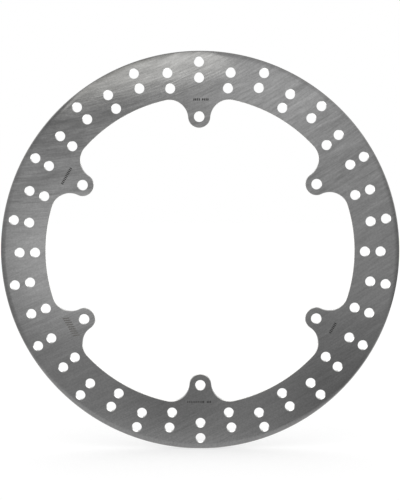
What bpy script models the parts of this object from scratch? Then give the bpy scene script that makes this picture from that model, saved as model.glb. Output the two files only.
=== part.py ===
"""Drilled front brake disc of a motorcycle, cut as one flat plate from stainless steel sheet.

The disc stands upright, as on the wheel: the axle it turns with lies along Y, its centre is
the origin, +Z runs up through one bolt lug, and the outer face looks to -Y. Lengths are in
metres. Angles go round the disc from +Z, clockwise for someone who looks along +Y.
"""

import math

import bmesh
import bpy
from mathutils import Vector

# Driving dimensions
OUTER_DIAMETER = 0.320
BAND_WIDTH = 0.036  # of the ring that the brake pads sweep
THICKNESS = 0.005

LUG_COUNT = 6
BOLT_CIRCLE_DIAMETER = 0.216
BOLT_HOLE_DIAMETER = 0.0084  # clears an M8 bolt
LUG_END_RADIUS = 0.0088
LUG_FILLET_RADIUS = 0.015  # where a lug runs into the ring

DRILL_DIAMETER = 0.008
COLUMN_COUNT = 36  # radial pairs of drilled holes, evenly spaced
PAIR_SPACING = 0.0125
STAGGER = 0.0065  # every second pair sits this much nearer the centre
OUTERMOST_DRILL_RADIUS = 0.1513

# Straight pieces that each round stretch is cut into
OUTER_SEGMENTS = 180
RING_ARC_SEGMENTS = 18
FILLET_SEGMENTS = 8
LUG_END_SEGMENTS = 14
HOLE_SEGMENTS = 20

WELD_DISTANCE = 1e-6
SHARP_ANGLE = math.radians(30)

OUTER_RADIUS = OUTER_DIAMETER / 2
RING_INNER_RADIUS = OUTER_RADIUS - BAND_WIDTH
BOLT_CIRCLE_RADIUS = BOLT_CIRCLE_DIAMETER / 2

STEEL_COLOUR = (0.45, 0.445, 0.435, 1.0)
STEEL_ROUGHNESS = 0.38


def clear_scene():
    for obj in list(bpy.data.objects):
        bpy.data.objects.remove(obj, do_unlink=True)


def polar(radius, angle):
    """The point at that radius and angle, in the plane of the disc."""
    return Vector((radius * math.sin(angle), radius * math.cos(angle)))


def triangle_angle(side, other_side, opposite):
    """The angle between two sides of a triangle, from the lengths of all three."""
    return math.acos(
        (side**2 + other_side**2 - opposite**2) / (2 * side * other_side)
    )


def arc(centre, radius, start, sweep, segments):
    """Points along an arc from its start, without the last one, where the next arc begins."""
    step = sweep / segments
    return [centre + polar(radius, start + step * i) for i in range(segments)]


def circle(centre, radius, segments):
    return arc(centre, radius, 0.0, math.tau, segments)


def ring_and_lug(lug_angle):
    """One sixth of the inner outline: a lug with its two fillets, then the ring to the next lug.

    A fillet's circle touches the ring's inner circle from inside and the lug's end from
    outside. Its centre, the bolt hole's and the disc's are then the corners of a triangle
    whose three sides are known.
    """
    centre = Vector((0.0, 0.0))
    to_centre = RING_INNER_RADIUS - LUG_FILLET_RADIUS
    to_bolt = LUG_FILLET_RADIUS + LUG_END_RADIUS
    spread = triangle_angle(to_centre, BOLT_CIRCLE_RADIUS, to_bolt)
    half_end = triangle_angle(to_bolt, BOLT_CIRCLE_RADIUS, to_centre)
    turn = spread + half_end
    pitch = math.tau / LUG_COUNT

    bolt = polar(BOLT_CIRCLE_RADIUS, lug_angle)
    before = polar(to_centre, lug_angle - spread)
    after = polar(to_centre, lug_angle + spread)
    return [
        *arc(before, LUG_FILLET_RADIUS, lug_angle - spread, turn, FILLET_SEGMENTS),
        *arc(
            bolt,
            LUG_END_RADIUS,
            lug_angle + math.pi + half_end,
            -2 * half_end,
            LUG_END_SEGMENTS,
        ),
        *arc(after, LUG_FILLET_RADIUS, lug_angle - half_end, turn, FILLET_SEGMENTS),
        *arc(
            centre,
            RING_INNER_RADIUS,
            lug_angle + spread,
            pitch - 2 * spread,
            RING_ARC_SEGMENTS,
        ),
    ]


def inner_outline():
    pitch = math.tau / LUG_COUNT
    return [p for i in range(LUG_COUNT) for p in ring_and_lug(pitch * i)]


def drilled_holes():
    """Two holes in each column, with every second column moved towards the centre."""
    holes = []
    for column in range(COLUMN_COUNT):
        angle = math.tau * column / COLUMN_COUNT
        outer = OUTERMOST_DRILL_RADIUS - STAGGER * (column % 2)
        for radius in (outer, outer - PAIR_SPACING):
            holes.append(
                circle(polar(radius, angle), DRILL_DIAMETER / 2, HOLE_SEGMENTS)
            )
    return holes


def bolt_holes():
    return [
        circle(
            polar(BOLT_CIRCLE_RADIUS, math.tau * i / LUG_COUNT),
            BOLT_HOLE_DIAMETER / 2,
            HOLE_SEGMENTS,
        )
        for i in range(LUG_COUNT)
    ]


def flat_plate(name, outlines, thickness):
    """A plate whose edge is the first outline and whose openings are the others."""
    curve = bpy.data.curves.new(name + "_outline", "CURVE")
    curve.dimensions = "2D"
    curve.fill_mode = "BOTH"
    curve.extrude = thickness / 2
    for outline in outlines:
        spline = curve.splines.new("POLY")
        spline.points.add(len(outline) - 1)
        for point, place in zip(spline.points, outline):
            point.co = (place.x, place.y, 0.0, 1.0)
        spline.use_cyclic_u = True
    drawn = bpy.data.objects.new(name + "_outline", curve)
    bpy.context.scene.collection.objects.link(drawn)

    graph = bpy.context.evaluated_depsgraph_get()
    mesh = bpy.data.meshes.new_from_object(drawn.evaluated_get(graph))
    mesh.name = name
    bpy.data.objects.remove(drawn)
    bpy.data.curves.remove(curve)

    shape = bmesh.new()
    shape.from_mesh(mesh)
    bmesh.ops.remove_doubles(shape, verts=shape.verts, dist=WELD_DISTANCE)
    bmesh.ops.recalc_face_normals(shape, faces=shape.faces)
    shape.to_mesh(mesh)
    shape.free()
    mesh.shade_smooth()
    mesh.set_sharp_from_angle(angle=SHARP_ANGLE)
    return mesh


def ground_stainless_steel():
    material = bpy.data.materials.new("ground_stainless_steel")
    material.use_nodes = True
    shader = material.node_tree.nodes["Principled BSDF"]
    shader.inputs["Base Color"].default_value = STEEL_COLOUR
    shader.inputs["Metallic"].default_value = 1.0
    shader.inputs["Roughness"].default_value = STEEL_ROUGHNESS
    return material


def rotor_plate(collection):
    """The whole disc. It is drawn lying in its own XY plane and then stood on its edge."""
    outer_edge = circle(Vector((0.0, 0.0)), OUTER_RADIUS, OUTER_SEGMENTS)
    outlines = [outer_edge, inner_outline(), *drilled_holes(), *bolt_holes()]
    plate = bpy.data.objects.new(
        "rotor_plate", flat_plate("rotor_plate", outlines, THICKNESS)
    )
    plate.data.materials.clear()
    plate.data.materials.append(ground_stainless_steel())
    plate.rotation_euler = (math.pi / 2, 0.0, 0.0)
    collection.objects.link(plate)
    return plate


def main():
    clear_scene()
    collection = bpy.data.collections.new("brake_disc_rotor")
    bpy.context.scene.collection.children.link(collection)
    rotor_plate(collection)


main()
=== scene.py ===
"""Looks of a drilled motorcycle brake disc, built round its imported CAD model.

The disc is one ground stainless steel plate. It stands upright with its axle line along Y
and its outer face towards -Y. Lengths in the mesh code are millimetres, and become metres
when the mesh is made. Angles go round the disc from +Z, clockwise for someone looking
along +Y.
"""

import math

import bpy
import numpy as np
from mathutils import Euler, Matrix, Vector
from mathutils.geometry import delaunay_2d_cdt


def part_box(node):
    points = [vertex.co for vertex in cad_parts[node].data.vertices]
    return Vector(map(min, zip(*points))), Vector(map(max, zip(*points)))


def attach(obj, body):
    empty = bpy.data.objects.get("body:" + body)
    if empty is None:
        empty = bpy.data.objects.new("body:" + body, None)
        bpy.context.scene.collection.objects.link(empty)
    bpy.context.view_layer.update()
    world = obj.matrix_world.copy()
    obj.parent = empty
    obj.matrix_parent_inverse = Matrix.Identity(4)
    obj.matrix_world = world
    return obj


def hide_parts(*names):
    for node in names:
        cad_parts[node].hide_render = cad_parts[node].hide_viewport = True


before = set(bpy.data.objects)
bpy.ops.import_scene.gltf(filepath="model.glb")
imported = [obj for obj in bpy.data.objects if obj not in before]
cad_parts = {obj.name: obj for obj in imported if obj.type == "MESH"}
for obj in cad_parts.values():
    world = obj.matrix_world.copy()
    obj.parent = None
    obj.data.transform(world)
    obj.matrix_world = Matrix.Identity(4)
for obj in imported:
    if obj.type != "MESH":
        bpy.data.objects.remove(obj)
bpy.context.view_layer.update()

MM = 0.001

# The plate, read from the CAD box
low_corner, high_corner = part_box("rotor_plate")
OUTER_RADIUS = (high_corner.x - low_corner.x) / 2 / MM
THICKNESS = (high_corner.y - low_corner.y) / MM
FACE_Y = THICKNESS / 2

# The plate's own dimensions, as in the CAD
RING_INNER_RADIUS = OUTER_RADIUS - 36.0
LUG_COUNT = 6
BOLT_CIRCLE_RADIUS = 108.0
BOLT_HOLE_RADIUS = 4.2
LUG_END_RADIUS = 8.8
LUG_FILLET_RADIUS = 15.0
DRILL_RADIUS = 4.0
COLUMN_COUNT = 36
PAIR_SPACING = 12.5
STAGGER = 6.5
OUTERMOST_DRILL_RADIUS = 151.3

# Radii of the edges where a face meets a wall, and the steps that round them
INNER_EDGE = (0.3, 4)
HOLE_EDGE = (0.07, 3)

# Segments round each kind of edge
OUTER_SEGMENTS = 720
RING_ARC_SEGMENTS = 72
FILLET_SEGMENTS = 28
LUG_END_SEGMENTS = 36
DRILL_SEGMENTS = 44
BOLT_HOLE_SEGMENTS = 56
STROKE_END_SEGMENTS = 8
# and from the flat face to the outer chamfer
ROLL_STEPS = 7

# Etched marks are sunk this far into the outer face
ETCH_DEPTH = 0.05

# Materials of the plate, in the order of its material slots
GROUND_FACE, CUT_WALL, TURNED_WALL, DARK_ETCH, PALE_ETCH = range(5)


# ---------------------------------------------------------------- node helper and colour


def linear(hex_colour):
    """An sRGB hex colour as linear red, green, blue and alpha."""
    parts = np.array([int(hex_colour[i : i + 2], 16) for i in (1, 3, 5)]) / 255
    curve = np.where(parts <= 0.04045, parts / 12.92, ((parts + 0.055) / 1.055) ** 2.4)
    return (*curve.tolist(), 1.0)


def add_node(tree, kind, inputs=None, **settings):
    """Adds a node with its settings. An input is linked where a socket is given, or set."""
    node = tree.nodes.new("ShaderNode" + kind)
    for name, value in settings.items():
        setattr(node, name, value)
    for name, value in (inputs or {}).items():
        if isinstance(value, bpy.types.NodeSocket):
            tree.links.new(value, node.inputs[name])
        else:
            node.inputs[name].default_value = value
    return node


# ---------------------------------------------------------------- camera and studio


def make_camera():
    """A long lens in front of the outer face, a little above the axle and looking down."""
    camera = bpy.data.cameras.new("camera")
    camera.lens = 79.2
    camera.sensor_width = 36.0
    holder = bpy.data.objects.new("camera", camera)
    holder.location = (0.00955, -0.88266, 0.06284)
    degrees = (86.025, 0.244, 0.591)
    holder.rotation_euler = [math.radians(turn) for turn in degrees]
    bpy.context.scene.collection.objects.link(holder)
    bpy.context.scene.camera = holder


def softbox(name, place, size, roll, power):
    """A rectangular light that faces the disc, rolled about its own axis by some degrees."""
    light = bpy.data.lights.new(name, "AREA")
    light.shape = "RECTANGLE"
    light.size, light.size_y = size
    light.energy = power
    holder = bpy.data.objects.new(name, light)
    holder.location = place
    facing = (-Vector(place)).to_track_quat("-Z", "Y")
    turned = facing.to_matrix() @ Euler((0, 0, math.radians(roll))).to_matrix()
    holder.rotation_euler = turned.to_euler()
    holder.visible_camera = False
    bpy.context.scene.collection.objects.link(holder)
    return holder


def soft_glow(tree, way, aim, core, reach, strength):
    """A round reflector in the room: full within core degrees of its aim, gone at reach."""
    closeness = add_node(
        tree,
        "VectorMath",
        {0: way, 1: Vector(aim).normalized()},
        operation="DOT_PRODUCT",
    ).outputs["Value"]
    return add_node(
        tree,
        "MapRange",
        {
            "Value": closeness,
            "From Min": math.cos(math.radians(reach)),
            "From Max": math.cos(math.radians(core)),
            "To Min": 0.0,
            "To Max": strength,
        },
        interpolation_type="SMOOTHSTEP",
    ).outputs[0]


def make_studio():
    """White paper all round for the eye, and a dim room with reflectors for the polish."""
    world = bpy.data.worlds.new("studio")
    bpy.context.scene.world = world
    world.use_nodes = True
    world.cycles.sampling_method = "NONE"
    tree = world.node_tree
    tree.nodes.clear()
    way = add_node(tree, "TexCoord").outputs["Generated"]
    split = add_node(tree, "SeparateXYZ", {0: way})

    # The room that the outer face mirrors gets lighter with height
    room = add_node(
        tree,
        "MapRange",
        {
            "Value": split.outputs["Z"],
            "From Min": -0.23,
            "From Max": 0.107,
            "To Min": 0.23,
            "To Max": 0.41,
        },
    ).outputs[0]
    # (where it is, full within degrees, gone at degrees, strength)
    reflectors = [
        # bright ones at the left and the upper right
        ((-0.132, -1.0, -0.08), 0.0, 4.5, 0.245),
        ((0.069, -1.0, 0.079), 0.0, 4.1, 0.125),
        # black cards at the lower right and the upper left
        ((0.142, -1.0, -0.205), 0.0, 5.4, -0.08),
        ((-0.193, -1.0, 0.18), 0.0, 10.3, -0.445),
        # small dark ones that even out the inner edge at the top and the foot
        ((-0.055, -1.0, 0.055), 0.0, 2.3, -0.07),
        ((-0.04, -1.0, -0.213), 0.0, 2.8, -0.05),
        # a faint fill for the right side
        ((0.13, -1.0, -0.02), 0.0, 8.0, 0.022),
        # black cards past the sides and the top, which the rolled rim mirrors
        ((0.36, -1.0, -0.02), 0.0, 12.0, -0.17),
        ((-0.36, -1.0, -0.08), 0.0, 10.0, -0.08),
        ((-0.02, -1.0, 0.22), 0.0, 6.5, -0.12),
        # a bright one for the rim and the edge of the face at the upper left
        ((-0.205, -1.0, 0.115), 0.0, 5.5, 0.2),
        # black cloth over, under and beside the disc, which the outer chamfer mirrors
        ((1.0, 0.1, 0.0), 20.0, 48.0, -0.15),
        ((-1.0, 0.1, 0.0), 20.0, 48.0, -0.15),
        ((0.0, 0.1, 1.0), 32.0, 58.0, -0.18),
        ((0.0, 0.1, -1.0), 15.0, 45.0, -0.1),
        # the wide spill of the backdrop behind, and the white paper round the disc's foot
        ((0.0, 1.0, 0.0), 26.0, 72.0, 0.15),
        ((-0.12, 0.0, -1.0), 75.7, 77.2, 0.16),
    ]
    mirrored = room
    for reflector in reflectors:
        mirrored = add_node(
            tree,
            "Math",
            {0: mirrored, 1: soft_glow(tree, way, *reflector)},
            operation="ADD",
        ).outputs[0]

    seen = add_node(
        tree,
        "Mix",
        {
            "Factor": add_node(tree, "LightPath").outputs["Is Glossy Ray"],
            "A": 1.0,
            "B": mirrored,
        },
        data_type="FLOAT",
    ).outputs[0]
    paper = add_node(tree, "Background", {"Color": linear("#FFFFFF"), "Strength": seen})
    add_node(tree, "OutputWorld", {"Surface": paper.outputs[0]})

    box = softbox(
        "softbox_high_left", (-0.205, -2.0, 0.414), (0.49, 0.26), roll=12, power=0.186
    )
    box.data.color = linear("#FFFEF9")[:3]
    # The walls of holes throw the view back towards the axis, where this white card stands
    card = softbox(
        "white_card_behind", (0.0, 0.75, -0.03), (0.3, 0.3), roll=0, power=0.24
    )
    card.visible_diffuse = False

    view = bpy.context.scene.view_settings
    view.view_transform = "Standard"
    view.look = "None"


def make_floor():
    """A plain white floor under the rim. It glows a little, so shadows on it stay faint."""
    reach = 4.0
    mesh = bpy.data.meshes.new("floor")
    corners = [(-reach, -reach), (reach, -reach), (reach, reach), (-reach, reach)]
    mesh.from_pydata([(x, y, low_corner.z) for x, y in corners], [], [(0, 1, 2, 3)])
    acrylic = bpy.data.materials.new("light_table_acrylic")
    acrylic.use_nodes = True
    shader = acrylic.node_tree.nodes["Principled BSDF"]
    shader.inputs["Base Color"].default_value = linear("#BCBCBC")
    shader.inputs["Roughness"].default_value = 0.9
    shader.inputs["Specular IOR Level"].default_value = 0.0
    shader.inputs["Emission Color"].default_value = linear("#FFFFFF")
    shader.inputs["Emission Strength"].default_value = 0.54
    mesh.materials.append(acrylic)
    floor = bpy.data.objects.new("floor", mesh)
    floor.visible_glossy = False
    bpy.context.scene.collection.objects.link(floor)


# ---------------------------------------------------------------- outlines of the plate


def polar(radius, angle):
    """Points (x, z) at a radius and an angle, as rows."""
    return np.stack([radius * np.sin(angle), radius * np.cos(angle)], axis=-1)


def arc(centre, radius, start, sweep, segments, into_steel):
    """Points along an arc without its last one, and the unit directions into the steel.

    A point is centre + radius * outward, where outward turns evenly from start by sweep. The
    direction is outward where into_steel is 1, and the opposite where it is -1.
    """
    outward = polar(1.0, start + sweep * np.arange(segments) / segments)
    return centre + radius * outward, into_steel * outward


def joined(arcs):
    """Several arcs one after the other as one closed outline."""
    return tuple(np.concatenate(parts) for parts in zip(*arcs))


def turned_back(outline):
    """The same outline, run the other way round."""
    return tuple(part[::-1] for part in outline)


def triangle_angle(side, other_side, opposite):
    """The angle between two sides of a triangle, from the lengths of all three."""
    return math.acos((side**2 + other_side**2 - opposite**2) / (2 * side * other_side))


def outer_outline():
    """The ring's round outer edge, run clockwise."""
    return arc(np.zeros(2), OUTER_RADIUS, 0.0, math.tau, OUTER_SEGMENTS, -1)


def inner_outline():
    """The ring's inner edge with its six lugs.

    A fillet's circle touches the ring's inner circle from inside and the lug's end from
    outside, so its centre lies RING_INNER_RADIUS - LUG_FILLET_RADIUS from the disc's centre
    and LUG_FILLET_RADIUS + LUG_END_RADIUS from the bolt hole's.
    """
    to_centre = RING_INNER_RADIUS - LUG_FILLET_RADIUS
    to_bolt = LUG_FILLET_RADIUS + LUG_END_RADIUS
    spread = triangle_angle(to_centre, BOLT_CIRCLE_RADIUS, to_bolt)
    half_end = triangle_angle(to_bolt, BOLT_CIRCLE_RADIUS, to_centre)
    turn = spread + half_end
    pitch = math.tau / LUG_COUNT
    ring = (np.zeros(2), RING_INNER_RADIUS)
    arcs = []
    for lug in pitch * np.arange(LUG_COUNT):
        before = (polar(to_centre, lug - spread), LUG_FILLET_RADIUS)
        after = (polar(to_centre, lug + spread), LUG_FILLET_RADIUS)
        end = (polar(BOLT_CIRCLE_RADIUS, lug), LUG_END_RADIUS)
        end_start = lug + math.pi + half_end
        ring_sweep = pitch - 2 * spread
        arcs += [
            arc(*before, lug - spread, turn, FILLET_SEGMENTS, 1),
            arc(*end, end_start, -2 * half_end, LUG_END_SEGMENTS, -1),
            arc(*after, lug - half_end, turn, FILLET_SEGMENTS, 1),
            arc(*ring, lug + spread, ring_sweep, RING_ARC_SEGMENTS, 1),
        ]
    return turned_back(joined(arcs))


def holes(centres, radius, segments):
    """Round openings, which run anticlockwise."""
    return [arc(centre, radius, 0.0, -math.tau, segments, 1) for centre in centres]


def drilled_holes():
    """Two holes in each column, with every second column moved towards the centre."""
    column = np.arange(COLUMN_COUNT)
    outer = OUTERMOST_DRILL_RADIUS - STAGGER * (column % 2)
    angle = math.tau * column / COLUMN_COUNT
    centres = np.concatenate([polar(outer, angle), polar(outer - PAIR_SPACING, angle)])
    return holes(centres, DRILL_RADIUS, DRILL_SEGMENTS)


def bolt_holes():
    """One hole near the end of each lug."""
    angle = math.tau * np.arange(LUG_COUNT) / LUG_COUNT
    return holes(polar(BOLT_CIRCLE_RADIUS, angle), BOLT_HOLE_RADIUS, BOLT_HOLE_SEGMENTS)


# ---------------------------------------------------------------- etched marks


def bar(centre, length, width, angle):
    """A bar with round ends that points along an angle, run anticlockwise."""
    along = polar(1.0, angle)
    reach = (length - width) / 2
    half_round = (-math.pi, STROKE_END_SEGMENTS, 1)
    far = arc(centre + reach * along, width / 2, angle + math.pi / 2, *half_round)
    near = arc(centre - reach * along, width / 2, angle - math.pi / 2, *half_round)
    return joined([far, near])


def row_of_strokes(lug, radius, places, length, width, slant=0.0):
    """Strokes in a straight row across a lug, at that radius in the lug's middle.

    The places are distances along the row from its middle. Each stroke points outwards,
    turned by the slant.
    """
    angle = math.tau * lug / LUG_COUNT
    middle = polar(radius, angle)
    spots = middle + polar(np.asarray(places), angle + math.pi / 2)
    return [bar(spot, length, width, angle + slant) for spot in spots]


def dark_marks():
    """Rows of strokes on four lugs, in place of the stampings that such discs carry."""
    # (lug, radius, places along the row, length of a stroke, its width)
    rows = [
        (0, 121.6, [-4.1, -2.7, -1.3, 0.1], 2.0, 0.95),
        (0, 121.6, [2.8, 4.2, 5.6, 7.0], 2.0, 0.95),
        (2, 123.4, np.linspace(-4.2, 4.2, 7), 2.3, 0.9),
        (3, 121.7, [-8.2, -6.9, -5.6], 1.9, 0.9),
        (3, 121.7, [-2.6, -1.3], 1.9, 0.9),
        (3, 121.7, np.linspace(0.2, 10.2, 8), 1.5, 0.8),
        (5, 122.7, np.linspace(-7.0, 7.0, 11), 2.2, 0.85),
    ]
    return [stroke for row in rows for stroke in row_of_strokes(*row)]


def pale_marks():
    """A faint patch of slanted strokes on the lower left lug."""
    places = np.linspace(-8.0, 8.0, 9)
    return row_of_strokes(4, 120.2, places, 5.6, 1.1, math.radians(25))


# ---------------------------------------------------------------- mesh of the plate


def rounded_corner(radius, steps):
    """A corner profile as rows of (inset from the wall, depth under the face, tilt).

    It is a quarter circle. The tilt, in radians, is how far the surface leans from the face
    towards the wall.
    """
    tilt = np.linspace(0, math.pi / 2, steps + 1)
    inset = radius * (1 - np.sin(tilt))
    depth = radius * (1 - np.cos(tilt))
    return np.stack([inset, depth, tilt], axis=-1)


def rolled_corner():
    """The outer edge's corner: the face falls away gently, then a chamfer meets the wall.

    Over the roll's width the depth is fall * share ** 2, where share goes from 0 to 1. The
    chamfer leans at 45 degrees and is eased a little where it meets the face and the wall.
    """
    roll, fall, chamfer, ease = 3.4, 0.08, 0.8, 0.06
    share = np.linspace(0, 1, ROLL_STEPS + 1)
    slope = 2 * fall * share / roll
    inset = chamfer + roll * (1 - share)
    face = np.stack([inset, fall * share**2, np.arctan(slope)], axis=-1)
    cut = [
        (chamfer - ease, fall + ease, math.pi / 4),
        (ease, fall + chamfer - ease, math.pi / 4),
        (0.0, fall + chamfer + ease, math.pi / 2),
    ]
    return np.concatenate([face, cut])


def edge_loops(outline, corner):
    """The whole rim of one outline, from the outer face round the wall to the inner face.

    Each corner row becomes a loop at outline + inset * into_steel. It lies depth under the
    outer face, and then, in the mirrored rows, under the inner face. The normal there is
    cos(tilt) * face normal - sin(tilt) * into_steel.
    """
    flat, into_steel = outline
    inset, depth, tilt = np.concatenate([corner, corner[::-1]]).T[:, :, None]
    side = np.repeat([-1.0, 1.0], len(corner))[:, None]
    place = flat + inset[..., None] * into_steel
    lean = -np.sin(tilt)[..., None] * into_steel
    y = np.broadcast_to(side * (FACE_Y - depth), place.shape[:2])
    facing = np.broadcast_to(side * np.cos(tilt), place.shape[:2])
    places = np.stack([place[..., 0], y, place[..., 1]], axis=-1)
    normals = np.stack([lean[..., 0], facing, lean[..., 1]], axis=-1)
    return places, normals


def pocket_loops(outline):
    """A mark's rim on the outer face and its floor, ETCH_DEPTH lower and as much narrower."""
    flat, into_steel = outline
    rim = np.insert(flat, 1, -FACE_Y, axis=1)
    floor = np.insert(flat - ETCH_DEPTH * into_steel, 1, -FACE_Y + ETCH_DEPTH, axis=1)
    places = np.stack([rim, floor])
    normals = np.broadcast_to([0.0, -1.0, 0.0], places.shape)
    return places, normals


def wall_quads(loops, points):
    """Quads between neighbouring loops of a closed grid, with the steel on their right."""
    loop, point = np.meshgrid(np.arange(loops - 1), np.arange(points), indexing="ij")
    here = loop * points + point
    beside = loop * points + (point + 1) % points
    return np.stack([here, beside, beside + points, here + points], axis=-1).reshape(-1, 4)


def loose_points(outlines):
    """Points on rings over the plate, which keep the flat faces' triangles compact.

    The rings are one step apart, every second one is turned by half a pitch, and a point
    nearer than the clearance to any outline is left out.
    """
    step, clearance = 3.2, 1.6
    radii = np.arange(BOLT_CIRCLE_RADIUS - LUG_END_RADIUS, OUTER_RADIUS, step)
    count = round(math.tau * RING_INNER_RADIUS / step)
    ring, place = np.meshgrid(np.arange(len(radii)), np.arange(count), indexing="ij")
    angle = math.tau * (place + ring % 2 / 2) / count
    points = polar(radii[ring], angle).reshape(-1, 2)
    nearest = np.min(
        [
            np.linalg.norm(points[:, None] - outline[None], axis=-1).min(axis=1)
            for outline in outlines
        ],
        axis=0,
    )
    return points[nearest > clearance]


def flat_triangles(outlines, loose):
    """Triangles of the plate's face: inside the first outline and outside the others.

    The triangulation keeps the order of its points, the joined outlines and then the loose
    ones, and winds its triangles so that they face -Y. No outlines may touch, because it
    would add points of its own there.
    """
    points = np.concatenate([*outlines, loose])
    ends = np.cumsum([len(outline) for outline in outlines])
    areas = [list(range(end - len(o), end)) for end, o in zip(ends, outlines)]
    areas[0].reverse()
    inside_with_holes, same_point = 2, 1e-7
    found = delaunay_2d_cdt(
        [Vector(point) for point in points], [], areas, inside_with_holes, same_point
    )
    return np.array(found[2])


def make_plate(materials):
    """The whole plate as one closed mesh: two flat faces, every edge and the sunk marks.

    The loops of all edges come first. Each flat face then uses the edges' first or last
    loops as its outlines, and adds its own loose points.
    """
    hole_corner = rounded_corner(*HOLE_EDGE)
    # (outline, corner, how many bands next to each face are ground like it, wall finish)
    rims = [(outer_outline(), rolled_corner(), ROLL_STEPS, TURNED_WALL)]
    rims += [(inner_outline(), rounded_corner(*INNER_EDGE), 0, CUT_WALL)]
    rims += [(outline, hole_corner, 0, CUT_WALL) for outline in bolt_holes()]
    rims += [(outline, hole_corner, 0, TURNED_WALL) for outline in drilled_holes()]

    places, normals, faces, kinds = [], [], [], []
    front, back = [], []
    total = 0
    for outline, corner, ground_bands, wall_kind in rims:
        loop_places, loop_normals = edge_loops(outline, corner)
        loops, points = loop_places.shape[:2]
        band = np.arange(loops - 1)
        is_ground = np.minimum(band, band[::-1]) < ground_bands
        band_kind = np.where(is_ground, GROUND_FACE, wall_kind)
        places.append(loop_places.reshape(-1, 3))
        normals.append(loop_normals.reshape(-1, 3))
        faces += (total + wall_quads(loops, points)).tolist()
        kinds += np.repeat(band_kind, points).tolist()
        front.append((total + np.arange(points), loop_places[0][:, [0, 2]]))
        last = total + (loops - 1) * points
        back.append((last + np.arange(points), loop_places[-1][:, [0, 2]]))
        total += loops * points

    marks = [(outline, DARK_ETCH) for outline in dark_marks()]
    marks += [(outline, PALE_ETCH) for outline in pale_marks()]
    for outline, kind in marks:
        loop_places, loop_normals = pocket_loops(outline)
        points = loop_places.shape[1]
        quads = wall_quads(2, points)
        places.append(loop_places.reshape(-1, 3))
        normals.append(loop_normals.reshape(-1, 3))
        faces += (total + quads).tolist()
        faces.append((total + points + np.arange(points)).tolist())
        kinds += [kind] * (len(quads) + 1)
        front.append((total + np.arange(points), loop_places[0][:, [0, 2]]))
        total += 2 * points

    for y, edges in ((-FACE_Y, front), (FACE_Y, back)):
        outlines = [outline for _, outline in edges]
        loose = loose_points(outlines)
        rows = np.concatenate([*[row for row, _ in edges], total + np.arange(len(loose))])
        triangles = rows[flat_triangles(outlines, loose)]
        if y > 0:
            triangles = triangles[:, ::-1]
        places.append(np.insert(loose, 1, y, axis=1))
        normals.append(np.broadcast_to([0.0, math.copysign(1, y), 0.0], (len(loose), 3)))
        faces += triangles.tolist()
        kinds += [GROUND_FACE] * len(triangles)
        total += len(loose)

    mesh = bpy.data.meshes.new("brake_disc")
    mesh.from_pydata((np.concatenate(places) * MM).tolist(), [], faces)
    for material in materials:
        mesh.materials.append(material)
    mesh.polygons.foreach_set("material_index", kinds)
    mesh.shade_smooth()
    mesh.normals_split_custom_set_from_vertices(np.concatenate(normals).tolist())
    plate = bpy.data.objects.new("brake_disc", mesh)
    bpy.context.scene.collection.objects.link(plate)
    return plate


# ---------------------------------------------------------------- materials


def new_material(name):
    """An empty material and its node tree, with the place on the disc in millimetres."""
    material = bpy.data.materials.new(name)
    material.use_nodes = True
    tree = material.node_tree
    tree.nodes.clear()
    metres = add_node(tree, "TexCoord").outputs["Object"]
    place = add_node(
        tree, "VectorMath", {0: metres, "Scale": 1 / MM}, operation="SCALE"
    ).outputs[0]
    return material, tree, place


def from_noise(tree, noise, low, high):
    """A noise value stretched so that the span it mostly keeps to runs from low to high."""
    return add_node(
        tree,
        "MapRange",
        {"Value": noise, "From Min": 0.3, "From Max": 0.7, "To Min": low, "To Max": high},
    ).outputs[0]


# Centres (x, z) of the two sweeps of the grinding wheel, far above the disc
UPPER_SWEEP = (-170.0, 530.0)
LOWER_SWEEP = (-700.0, 1250.0)


def sweep_lines(tree, place, centre):
    """Where a place lies on the arcs about a far centre, and which way the centre is.

    The first is (distance to the centre, bearing * usual distance, y), all in mm, so that
    the arcs run along its second part.
    """
    towards = add_node(
        tree,
        "VectorMath",
        {0: (centre[0], 0.0, centre[1]), 1: place},
        operation="SUBTRACT",
    ).outputs[0]
    parts = add_node(tree, "SeparateXYZ", {0: towards}).outputs
    flat = add_node(tree, "CombineXYZ", {"X": parts["X"], "Z": parts["Z"]}).outputs[0]
    distance = add_node(tree, "VectorMath", {0: flat}, operation="LENGTH").outputs["Value"]
    bearing = add_node(
        tree, "Math", {0: parts["X"], 1: parts["Z"]}, operation="ARCTAN2"
    ).outputs[0]
    along = add_node(
        tree, "Math", {0: bearing, 1: math.hypot(*centre)}, operation="MULTIPLY"
    ).outputs[0]
    spot = add_node(tree, "CombineXYZ", {"X": distance, "Y": along, "Z": parts["Y"]})
    return spot.outputs[0], flat


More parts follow.
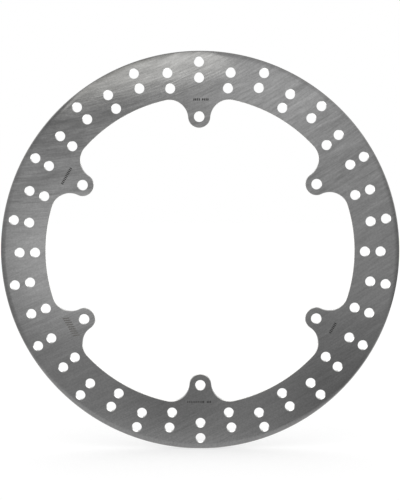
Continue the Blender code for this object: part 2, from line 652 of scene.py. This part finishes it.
def ground_stainless():
    """Martensitic stainless sheet, surface-ground with a cup wheel in two sweeps.

    The eye gets a satin grey with long, faint, slightly arced lines. The real lines are some
    0.05 mm wide. They are drawn 0.7 to 6 mm wide here, because finer ones wouldn't show.
    """
    material, tree, place = new_material("ground_stainless_steel")
    upper_spot, upper_way = sweep_lines(tree, place, UPPER_SWEEP)
    lower_spot, lower_way = sweep_lines(tree, place, LOWER_SWEEP)
    height = add_node(tree, "SeparateXYZ", {0: place}).outputs["Z"]
    lower = add_node(
        tree,
        "MapRange",
        {"Value": height, "From Min": 60.0, "From Max": -60.0},
        interpolation_type="SMOOTHSTEP",
    ).outputs[0]

    def lines(width, length, low, high):
        """A value from low to high that changes across the lines and hardly along them."""
        noises = []
        for spot in (upper_spot, lower_spot):
            drawn_out = add_node(
                tree,
                "VectorMath",
                {0: spot, 1: (1 / width, 1 / length, 0.2)},
                operation="MULTIPLY",
            ).outputs[0]
            noises.append(
                add_node(
                    tree,
                    "TexNoise",
                    {"Vector": drawn_out, "Scale": 1.0, "Detail": 2.0},
                ).outputs["Fac"]
            )
        both = add_node(
            tree,
            "Mix",
            {"Factor": lower, "A": noises[0], "B": noises[1]},
            data_type="FLOAT",
        ).outputs[0]
        return from_noise(tree, both, low, high)

    tone = lines(0.7, 9.0, 0.91, 1.09)
    for layer in (lines(1.7, 22.0, 0.88, 1.12), lines(6.0, 34.0, 0.89, 1.11)):
        tone = add_node(tree, "Math", {0: tone, 1: layer}, operation="MULTIPLY").outputs[0]

    # The lines fade towards the foot, where an even mottling is all that is left
    contrast = add_node(
        tree,
        "MapRange",
        {"Value": height, "From Min": -140.0, "From Max": 60.0, "To Min": 0.3, "To Max": 1.0},
    ).outputs[0]
    faded = add_node(
        tree, "Mix", {"Factor": contrast, "A": 1.0, "B": tone}, data_type="FLOAT"
    ).outputs[0]
    grain = add_node(
        tree, "TexNoise", {"Vector": place, "Scale": 0.7, "Detail": 2.0}
    ).outputs["Fac"]
    mottling = from_noise(tree, grain, 0.92, 1.08)
    tone = add_node(tree, "Math", {0: faded, 1: mottling}, operation="MULTIPLY").outputs[0]
    colour = add_node(
        tree,
        "VectorMath",
        {0: linear("#C8C8C8")[:3], "Scale": tone},
        operation="SCALE",
    ).outputs[0]
    bump = add_node(
        tree,
        "Bump",
        {"Height": lines(1.3, 22.0, 0.0, 1.0), "Strength": 1.0, "Distance": 0.004 * MM},
    ).outputs[0]
    # Inputs 4 and 5 and output 1 are the vector ones of a mix
    across = add_node(
        tree,
        "Mix",
        {0: lower, 4: upper_way, 5: lower_way},
        data_type="VECTOR",
    ).outputs[1]
    across = add_node(tree, "VectorMath", {0: across}, operation="NORMALIZE").outputs[0]
    shader = add_node(
        tree,
        "BsdfPrincipled",
        {
            "Base Color": colour,
            "Metallic": 1.0,
            "Roughness": lines(2.5, 30.0, 0.07, 0.10),
            "Anisotropic": 0.3,
            "Normal": bump,
            "Tangent": across,
        },
    )
    add_node(tree, "OutputMaterial", {"Surface": shader.outputs[0]})
    return material


def worked_wall(name, stretch, hex_colour, low_roughness, high_roughness, depth):
    """Steel with tool lines: noise read at place * stretch, so long where stretch is small."""
    material, tree, place = new_material(name)
    drawn_out = add_node(
        tree, "VectorMath", {0: place, 1: stretch}, operation="MULTIPLY"
    ).outputs[0]
    lines = add_node(
        tree, "TexNoise", {"Vector": drawn_out, "Scale": 1.0, "Detail": 3.0}
    ).outputs["Fac"]
    tone = from_noise(tree, lines, 0.9, 1.1)
    colour = add_node(
        tree, "VectorMath", {0: linear(hex_colour)[:3], "Scale": tone}, operation="SCALE"
    ).outputs[0]
    roughness = from_noise(tree, lines, low_roughness, high_roughness)
    bump = add_node(
        tree, "Bump", {"Height": lines, "Strength": 1.0, "Distance": depth * MM}
    ).outputs[0]
    shader = add_node(
        tree,
        "BsdfPrincipled",
        {
            "Base Color": colour,
            "Metallic": 1.0,
            "Roughness": roughness,
            "Normal": bump,
        },
    )
    add_node(tree, "OutputMaterial", {"Surface": shader.outputs[0]})
    return material


def etched(name, hex_colour, metallic, roughness):
    """Laser-etched steel: a thin oxide skin that dulls the shine, mottled about 0.5 mm wide."""
    material, tree, place = new_material(name)
    grain = add_node(
        tree, "TexNoise", {"Vector": place, "Scale": 2.0, "Detail": 2.0}
    ).outputs["Fac"]
    tone = from_noise(tree, grain, 0.8, 1.2)
    colour = add_node(
        tree, "VectorMath", {0: linear(hex_colour)[:3], "Scale": tone}, operation="SCALE"
    ).outputs[0]
    shader = add_node(
        tree,
        "BsdfPrincipled",
        {"Base Color": colour, "Metallic": metallic, "Roughness": roughness},
    )
    add_node(tree, "OutputMaterial", {"Surface": shader.outputs[0]})
    return material


def plate_materials():
    """The plate's finishes, in the order of its material slots."""
    return [
        ground_stainless(),
        # laser cut: dull, with furrows straight across the thickness every 0.4 mm
        worked_wall("laser_cut_steel", (2.5, 0.2, 2.5), "#EDECEA", 0.2, 0.3, 0.01),
        # turned and drilled: brighter, with rings round the wall every 0.25 mm
        worked_wall("turned_steel", (0.1, 4.0, 0.1), "#F0EFED", 0.12, 0.2, 0.004),
        # deep etch: near-black oxide, matt
        etched("dark_laser_etch", "#2F2E2E", 0.0, 0.6),
        # light etch: still metal, greyer and duller than the ground face
        etched("pale_laser_etch", "#ADABA8", 1.0, 0.35),
    ]


# ---------------------------------------------------------------- run

make_camera()
make_studio()
make_floor()

disc = make_plate(plate_materials())
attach(disc, "root")
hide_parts("rotor_plate")
